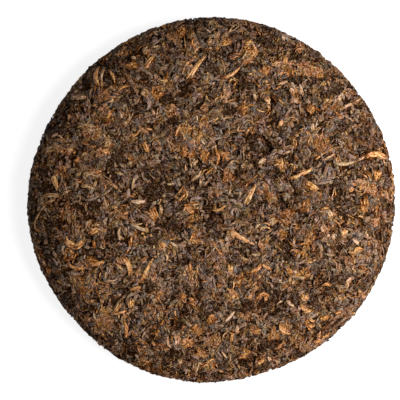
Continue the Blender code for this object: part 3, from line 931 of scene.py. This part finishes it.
# %% List the large strips
# Each strip: form, width in mm, shade, and the x and y of each point of its route
GOLDEN_STRIPS = (
    ("tip", 2.3, 0.80, 187, 80, 196, 67, 207, 53), ("tip", 2.2, 0.85, 228, 229, 239, 237, 258, 245),
    ("tip", 2.2, 0.90, 244, 207, 250, 195, 257, 181),
    ("stem", 2.2, 0.70, 363, 158, 376, 154, 390, 160),
    ("stem", 1.5, 0.65, 288, 179, 302, 174, 315, 166),
    ("tip", 2.0, 0.66, 143, 70, 149, 61, 156, 53), ("stem", 1.7, 0.75, 99, 66, 95, 76, 99, 86),
    ("stem", 1.2, 0.55, 108, 69, 113, 76, 115, 83), ("stem", 1.3, 0.58, 117, 93, 122, 87, 130, 86),
    ("stem", 1.0, 0.60, 107, 101, 112, 100, 112, 96),
    ("stem", 1.4, 0.55, 240, 67, 231, 75, 220, 78), ("stem", 1.1, 0.55, 250, 41, 255, 48, 257, 55),
    ("leaf", 3.0, 0.60, 322, 81, 330, 89), ("leaf", 3.6, 0.42, 377, 167, 377, 182),
    ("leaf", 3.4, 0.60, 304, 183, 311, 186, 319, 191),
    ("stem", 1.2, 0.60, 211, 210, 218, 210, 226, 204),
    ("tip", 2.6, 0.90, 51, 175, 55, 184, 58, 192), ("stem", 2.3, 0.55, 64, 236, 69, 244, 77, 246),
    ("stem", 2.1, 0.55, 72, 247, 78, 246, 83, 240), ("stem", 1.3, 0.50, 68, 249, 74, 255),
    ("stem", 2.0, 0.55, 87, 231, 93, 231, 99, 227), ("stem", 1.5, 0.40, 93, 240, 95, 249),
    ("stem", 2.0, 0.72, 120, 255, 127, 262, 130, 279),
    ("tip", 1.7, 0.62, 141, 280, 147, 268, 154, 257),
    ("stem", 1.6, 0.45, 129, 290, 136, 288, 143, 286), ("tip", 2.0, 0.55, 120, 304, 112, 315),
    ("stem", 1.1, 0.45, 112, 315, 127, 311), ("leaf", 3.2, 0.60, 130, 297, 131, 309),
    ("stem", 1.6, 0.55, 124, 322, 126, 333, 125, 339), ("tip", 1.9, 0.60, 47, 267, 49, 276),
    ("stem", 1.8, 0.50, 142, 141, 145, 146, 148, 153), ("stem", 1.2, 0.60, 175, 137, 180, 124),
    ("stem", 1.5, 0.55, 281, 321, 283, 332, 291, 334), ("stem", 1.5, 0.45, 321, 339, 330, 334),
    ("stem", 1.6, 0.50, 322, 286, 326, 284, 331, 287),
    ("stem", 1.6, 0.50, 255, 301, 265, 294, 270, 297), ("stem", 1.4, 0.50, 265, 295, 266, 304),
    ("stem", 1.6, 0.45, 261, 264, 255, 270, 249, 273), ("stem", 1.3, 0.45, 261, 264, 271, 270),
    ("stem", 1.6, 0.50, 228, 290, 232, 294, 235, 300), ("stem", 2.0, 0.55, 230, 263, 230, 274),
    ("stem", 1.2, 0.55, 190, 262, 190, 271), ("stem", 1.7, 0.50, 257, 365, 264, 359),
    ("tip", 2.2, 0.60, 232, 343, 231, 333), ("stem", 1.8, 0.40, 287, 266, 289, 271, 294, 274),
    ("stem", 1.6, 0.55, 301, 304, 306, 311, 314, 310),
    ("stem", 1.8, 0.55, 300, 293, 305, 299, 309, 292),
    ("stem", 1.6, 0.45, 354, 255, 357, 249, 364, 250), ("leaf", 2.8, 0.65, 340, 236, 348, 229),
    ("leaf", 3.2, 0.50, 160, 241, 164, 250), ("leaf", 5.0, 0.26, 149, 207, 158, 222),
    ("stem", 1.2, 0.45, 320, 209, 329, 208), ("stem", 1.9, 0.50, 285, 56, 285, 66),
    ("stem", 1.6, 0.45, 139, 356, 142, 361, 150, 362), ("stem", 1.7, 0.55, 279, 126, 283, 120),
    ("leaf", 3.4, 0.45, 307, 105, 315, 114), ("stem", 1.2, 0.35, 214, 147, 218, 156, 216, 167),
    ("stem", 1.1, 0.30, 216, 167, 208, 172, 205, 177),
    ("leaf", 3.0, 0.62, 97, 155, 104, 153, 112, 150), ("leaf", 3.0, 0.76, 279, 157, 282, 171),
    ("leaf", 2.6, 0.48, 74, 157, 79, 163), ("stem", 1.6, 0.50, 88, 262, 97, 264, 105, 260),
    ("stem", 1.5, 0.45, 66, 262, 75, 268, 86, 267),
)
TAN_STRIPS = (
    ("stem", 1.4, 0.55, 333, 163, 344, 164, 357, 161),
    ("stem", 1.3, 0.60, 357, 161, 362, 158, 367, 155), ("stem", 1.3, 0.65, 322, 161, 335, 153),
    ("stem", 1.9, 0.45, 69, 99, 78, 97, 88, 98), ("stem", 1.2, 0.45, 105, 68, 101, 76, 103, 84),
    ("stem", 1.6, 0.50, 108, 85, 115, 90), ("stem", 1.3, 0.62, 130, 58, 133, 57, 136, 59),
    ("leaf", 2.6, 0.45, 141, 53, 150, 46), ("leaf", 3.4, 0.58, 139, 88, 150, 97),
    ("stem", 1.5, 0.55, 120, 112, 122, 119), ("stem", 1.4, 0.55, 69, 113, 68, 121),
    ("stem", 1.3, 0.45, 75, 128, 85, 125, 97, 127), ("stem", 1.2, 0.50, 50, 138, 56, 134, 62, 138),
    ("stem", 1.3, 0.40, 209, 28, 209, 23, 213, 21, 217, 24, 215, 28),
    ("tip", 2.2, 0.45, 216, 29, 216, 36, 217, 45), ("stem", 1.7, 0.35, 210, 36, 208, 46),
    ("stem", 0.9, 0.50, 205, 28, 211, 32), ("stem", 1.3, 0.45, 192, 46, 198, 41),
    ("stem", 1.1, 0.45, 194, 55, 196, 49, 202, 46), ("stem", 1.7, 0.40, 224, 93, 225, 84),
    ("stem", 1.6, 0.55, 241, 98, 243, 94, 247, 98), ("stem", 1.4, 0.50, 253, 91, 256, 101),
    ("stem", 1.1, 0.45, 234, 117, 220, 118), ("stem", 1.4, 0.80, 283, 34, 283, 40),
    ("tip", 1.9, 0.80, 302, 96, 301, 89, 300, 82), ("stem", 1.8, 0.60, 290, 94, 291, 89, 294, 96),
    ("stem", 1.2, 0.60, 276, 85, 288, 81), ("tip", 1.9, 0.85, 337, 103, 341, 96, 345, 88),
    ("stem", 1.5, 0.60, 342, 108, 353, 103), ("stem", 1.4, 0.60, 355, 103, 362, 98),
    ("stem", 1.7, 0.55, 325, 98, 329, 102), ("tip", 1.8, 0.80, 312, 130, 313, 120),
    ("stem", 1.1, 0.50, 313, 131, 319, 138), ("stem", 2.0, 0.30, 40, 156, 49, 149, 58, 147),
    ("stem", 1.1, 0.50, 50, 144, 60, 147), ("stem", 1.1, 0.60, 57, 195, 64, 193, 71, 190),
    ("stem", 1.3, 0.45, 96, 177, 111, 184, 121, 192), ("stem", 1.0, 0.50, 114, 172, 124, 175),
    ("stem", 1.7, 0.35, 80, 186, 94, 186), ("stem", 1.1, 0.55, 134, 176, 132, 190),
    ("stem", 1.6, 0.95, 130, 201, 137, 202, 145, 201), ("stem", 2.2, 0.35, 107, 197, 104, 210),
    ("stem", 1.4, 0.50, 121, 226, 119, 236, 124, 239),
    ("tip", 1.7, 0.80, 149, 232, 139, 228, 129, 223),
    ("stem", 1.1, 0.45, 34, 228, 36, 218, 40, 212),
    ("stem", 1.0, 0.20, 156, 148, 152, 144, 156, 140, 160, 144, 157, 148),
    ("stem", 1.2, 0.60, 202, 170, 198, 175, 190, 181), ("stem", 1.1, 0.60, 200, 178, 200, 186),
    ("stem", 1.9, 0.52, 258, 165, 267, 157), ("stem", 1.6, 0.45, 160, 204, 161, 216),
    ("stem", 1.3, 0.70, 255, 228, 260, 223), ("leaf", 3.2, 0.55, 267, 224, 278, 218),
    ("stem", 1.3, 0.65, 169, 242, 178, 248), ("stem", 1.3, 0.50, 198, 237, 204, 245),
    ("tip", 2.3, 0.90, 332, 218, 328, 209), ("stem", 2.0, 0.90, 320, 230, 324, 228),
    ("stem", 1.4, 0.80, 352, 238, 359, 245), ("stem", 1.6, 0.80, 333, 234, 334, 240),
    ("stem", 1.7, 0.50, 347, 290, 348, 281, 353, 276), ("stem", 2.2, 0.50, 337, 298, 343, 297),
    ("stem", 1.5, 0.50, 286, 300, 294, 307), ("stem", 1.2, 0.70, 224, 323, 235, 311),
    ("stem", 1.6, 0.60, 237, 325, 236, 334), ("stem", 1.1, 0.60, 168, 335, 171, 347, 174, 347),
    ("stem", 1.1, 0.60, 173, 335, 176, 342, 173, 348), ("leaf", 3.2, 0.45, 197, 359, 194, 376),
    ("stem", 1.3, 0.70, 180, 358, 179, 365), ("stem", 1.4, 0.70, 268, 357, 270, 362),
    ("stem", 1.2, 0.45, 166, 308, 175, 304), ("stem", 2.0, 0.25, 69, 273, 76, 287),
    ("stem", 2.2, 0.40, 78, 134, 90, 128, 104, 133),
    ("stem", 2.4, 0.40, 104, 131, 108, 142, 101, 152),
    ("stem", 1.8, 0.42, 40, 197, 50, 195, 62, 196), ("stem", 1.4, 0.48, 43, 204, 55, 199),
    ("stem", 2.0, 0.35, 80, 176, 92, 173, 106, 178),
)
BROWN_STRIPS = (
    ("stem", 3.2, 0.60, 74, 216, 75, 228, 76, 240), ("stem", 1.6, 0.55, 120, 69, 130, 81, 138, 97),
    ("stem", 2.0, 0.40, 189, 64, 186, 75), ("stem", 2.4, 0.35, 190, 112, 200, 113, 211, 117),
    ("stem", 1.6, 0.50, 320, 331, 340, 315, 352, 304),
    ("stem", 1.4, 0.45, 330, 330, 346, 318, 358, 302),
)
print("strips laid one by one:", len(GOLDEN_STRIPS) + len(TAN_STRIPS) + len(BROWN_STRIPS))

# %% [markdown]
# ## Plies
# A broad strip is a rolled leaf that has opened. One broad tube would look like a worm, so it is
# laid as a few plies side by side, which close toward one end and stop at different lengths.

# %% Lay the large strips
FACE_ROWS = slice(0, int(np.argmax(SECTION[:, 0])) + 1)
LARGE_PROUD = 0.2 * MM
LARGE_HEIGHT = 0.9 * MM
LARGE_UNEVEN = 0.06 * MM
LARGE_DIVE = 0.30 * MM
LARGE_FADE = 0.25  # the ends of a strip are this much darker than its middle
LARGE_CONTRAST = 1.7
LARGE_TONE = 0.42  # shade of a strip listed at 0.5
TONE_SPREAD = 0.12
LARGE_WIDER = 1.25
ALONE_WIDER, PLY_WIDER = 1.15, 1.5  # plies overlap
PLY_WIDTH = 1.5  # mm
PLY_TRIM = 0.16  # a ply stops short by up to this share of the length
PLY_CLOSING = {"tip": 0.75, "stem": 0.1, "leaf": 0.5}
LARGE_FORMS = {"tip": tip_forms, "stem": stem_forms, "leaf": flake_forms}

def place_on_face(spots):
    """Points of the face, and the normals there, that lie under spots of the picture."""
    x, y = on_face_plane(spots.T) - np.array(AXIS[:2])[:, None]
    angle = np.arctan2(y, x)
    along = np.interp(np.hypot(x, y) / rim_scale(angle), SECTION[FACE_ROWS, 0], ALONG[FACE_ROWS])
    return place_on_skin(along, angle)

def smooth_route(route):
    """Evenly spaced stations on a smooth curve through the points of a route, and its length."""
    route = np.array(route, float).reshape(-1, 2)
    knots = way_along(route)
    stops = np.linspace(0, knots[-1], STATIONS)
    degree = len(route) - 1
    spots = [np.polyval(np.polyfit(knots, route[:, axis], degree), stops) for axis in (0, 1)]
    return np.column_stack(spots), knots[-1] * FACE_PIXEL

def lay_ply(heap, forms, spots, width, length, shade, draw):
    """Lays one ply on spots of the picture."""
    lines, normals = place_on_face(spots)
    proud = FLUSH[FACE_AND_RIM] + (LARGE_PROUD + draw.normal(0, LARGE_UNEVEN))
    lift = proud - LARGE_HEIGHT / 2 - LARGE_DIVE * STATION_PLACES**4
    form = forms[draw.integers(len(forms))]
    width = np.array([width])
    placed = hang(form, lines[None], normals[None], width, np.array([LARGE_HEIGHT]), lift[None])
    tone = LARGE_CONTRAST * (shade - 0.5) + LARGE_TONE + draw.normal(0, TONE_SPREAD)
    heap.add(form, placed, np.array([tone]), np.array([length]), width, draw, fade=LARGE_FADE)

def lay_large(heap, strips, draw):
    """Lays strips one by one along their routes, a broad one as a few plies side by side."""
    for kind, wide, shade, *route in strips:
        spots, length = smooth_route(route)
        aside = unit(np.gradient(spots, axis=0))[:, ::-1] * (1, -1)
        closing = 1 - PLY_CLOSING[kind] * np.linspace(0, 1, STATIONS)[:, None]
        wide *= LARGE_WIDER
        plies = max(1, round(wide / PLY_WIDTH))
        wider = ALONE_WIDER if plies == 1 else PLY_WIDER
        for ply in range(plies):
            offset = (ply - (plies - 1) / 2) * wide / plies * MM / FACE_PIXEL
            start, end = draw.uniform(0, PLY_TRIM, 2) * (plies > 1)
            stops = np.linspace(start, 1 - end, STATIONS) * (STATIONS - 1)
            shifted = spots + aside * closing * offset
            trimmed = np.column_stack([
                np.interp(stops, np.arange(STATIONS), shifted[:, axis]) for axis in (0, 1)
            ])
            width = wide / plies * wider * MM
            lay_ply(heap, LARGE_FORMS[kind], trimmed, width, length, shade, draw)

large_draw = np.random.default_rng(26)
brown_stems = Heap("brown_stems", brown_finish)
large_heaps = ((tips, GOLDEN_STRIPS), (stems, TAN_STRIPS), (brown_stems, BROWN_STRIPS))
for heap, strips in large_heaps:
    lay_large(heap, strips, large_draw)
for heap, _ in large_heaps:
    heap.join()

# %% [markdown]
# ## Patches of one colour
# Where a golden or a dark leaf broke up in the press, a patch of shreds of that colour shows.
# The larger patches are laid where the picture has them, each as a middle and a radius.

# %% List the patches
# Each patch: x, y and radius in the picture
GOLD_PATCHES = (
    (131, 64, 5), (180, 31, 5), (194, 44, 4), (157, 92, 6), (246, 42, 4), (250, 50, 6),
    (243, 107, 6), (185, 130, 5), (197, 135, 5), (184, 151, 4), (192, 154, 3), (226, 156, 4),
    (191, 207, 6), (290, 71, 5), (306, 206, 5), (365, 206, 5), (187, 343, 6), (210, 365, 5),
    (246, 354, 4), (310, 324, 5), (323, 319, 3), (193, 302, 4), (97, 172, 3), (108, 118, 4),
    (195, 238, 5), (197, 329, 4), (212, 319, 4), (340, 313, 3), (331, 149, 3), (91, 261, 4),
    (306, 272, 4), (104, 310, 3), (227, 41, 4), (265, 70, 4), (339, 116, 3),
)
RUSSET_PATCHES = (
    (123, 51, 5), (172, 36, 5), (247, 57, 6), (206, 109, 4), (171, 111, 7), (203, 122, 6),
    (305, 68, 7), (204, 153, 5), (99, 153, 5), (130, 157, 3), (321, 143, 8), (371, 190, 5),
    (300, 47, 5), (84, 289, 5), (104, 322, 9), (141, 361, 5), (182, 298, 5), (157, 294, 4),
    (202, 354, 4), (247, 315, 5), (233, 296, 6), (227, 174, 5), (281, 164, 5), (265, 243, 5),
    (270, 198, 5), (214, 341, 6), (285, 328, 6), (362, 295, 4), (120, 215, 5), (92, 132, 8),
    (102, 95, 6), (350, 60, 4), (318, 71, 5), (291, 214, 5), (375, 222, 4), (309, 236, 5),
    (273, 335, 5), (240, 280, 5), (255, 330, 5), (281, 235, 5), (155, 330, 5),
)
DARK_PATCHES = (
    (113, 60, 7), (229, 109, 6), (333, 87, 8), (336, 89, 6), (344, 124, 8), (171, 223, 8),
    (155, 190, 9), (153, 240, 7), (211, 224, 6), (294, 297, 5), (331, 324, 5), (342, 279, 6),
    (366, 281, 7), (314, 303, 6), (245, 305, 8), (147, 285, 7), (66, 300, 7), (118, 158, 7),
    (97, 205, 6), (60, 130, 6), (172, 120, 7), (200, 190, 6), (222, 366, 6), (155, 328, 5),
    (175, 358, 6), (255, 205, 5), (265, 305, 5), (325, 92, 5), (264, 40, 6), (187, 290, 5),
    (205, 312, 7), (72, 104, 6), (128, 100, 6), (50, 225, 6), (43, 190, 5), (344, 214, 6),
    (285, 255, 5), (340, 182, 6), (213, 70, 5), (110, 340, 5), (130, 345, 5), (252, 140, 6),
    (300, 190, 5), (140, 108, 6), (169, 101, 6), (119, 150, 6), (160, 171, 7), (111, 165, 5),
    (214, 233, 6), (275, 240, 5), (283, 249, 5), (290, 258, 4), (267, 347, 6), (249, 308, 6),
    (346, 277, 6), (293, 301, 5), (41, 170, 5),
)
print("patches:", len(GOLD_PATCHES) + len(RUSSET_PATCHES) + len(DARK_PATCHES))

# %% [markdown]
# ## Shreds in a patch
# A patch is strewn with the same shreds as the ground, nearly parallel, because they come from
# one leaf, and on top of the mat.

# %% Lay the patches
PATCH_COVER = 2.6  # how often the shreds cover their patch
PATCH_SHRED = 3.1 * MM * 1.25 * MM  # area that one shred covers
PATCH_FILL = 0.9
PATCH_TOP = 0.12 * MM
PATCH_DEPTH = 0.25 * MM
PATCH_FAN = 0.55
PATCH_LONGER = 1.1
PATCH_BEND = 1.0
PATCH_TILT = 0.12 * MM
PATCH_DIVE = 0.2 * MM
PATCH_SHADES = 0.2, -0.3, 1  # spread, darkest, palest

def lay_patches(name, finish, patches, shade, draw):
    """Strews each patch with shreds that lie within some sixty degrees of one heading."""
    heap = Heap(name, finish)
    spread, darkest, palest = PATCH_SHADES
    for x, y, radius in patches:
        size = radius * FACE_PIXEL
        count = max(3, round(PATCH_COVER * math.pi * size**2 / PATCH_SHRED))
        middle, normal = place_on_face(np.array([[x, y]], float))
        ahead = headings_at(normal, draw.random(1) * FULL_TURN)
        away = (size * np.sqrt(draw.random(count)) * PATCH_FILL)[:, None]
        around = (draw.random(count) * FULL_TURN)[:, None]
        aside = np.cross(normal, ahead)
        points, normals = drop_on_skin(
            middle + ahead * (away * np.cos(around)) + aside * (away * np.sin(around))
        )
        turn = draw.normal(0, PATCH_FAN, count)[:, None]
        ahead = laid_flat(ahead * np.cos(turn) + np.cross(normals, ahead) * np.sin(turn), normals)
        form = draw.integers(0, len(shred_forms), count)
        lengths = draw.uniform(*SHRED_LENGTH, count) * PATCH_LONGER
        widths = draw.uniform(*SHRED_WIDTH, count)
        heights = draw.uniform(*SHRED_HEIGHT, count)
        bends = draw.normal(0, PATCH_BEND, count)
        lines, line_normals = bent_lines(points, normals, ahead, lengths, bends, np.zeros(count))
        top = FLUSH[FACE_AND_RIM] + PATCH_TOP - draw.uniform(0, PATCH_DEPTH, count)
        lift = (top - heights / 2)[:, None] - PATCH_DIVE * STATION_PLACES**4
        lift += draw.normal(0, PATCH_TILT, (count, 1)) * STATION_PLACES
        shades = np.clip(shade + draw.normal(0, spread, count), darkest, palest)
        hang_all(heap, shred_forms, form, lines, line_normals,
                 lengths, widths, heights, lift, shades, draw)
    return heap.join(faceted=True)

lay_patches("gold_patches", gold_finish, GOLD_PATCHES, 0.20, large_draw)
lay_patches("russet_patches", russet_finish, RUSSET_PATCHES, 0.40, large_draw)
lay_patches("dark_patches", dark_finish, DARK_PATCHES, -0.15, large_draw)
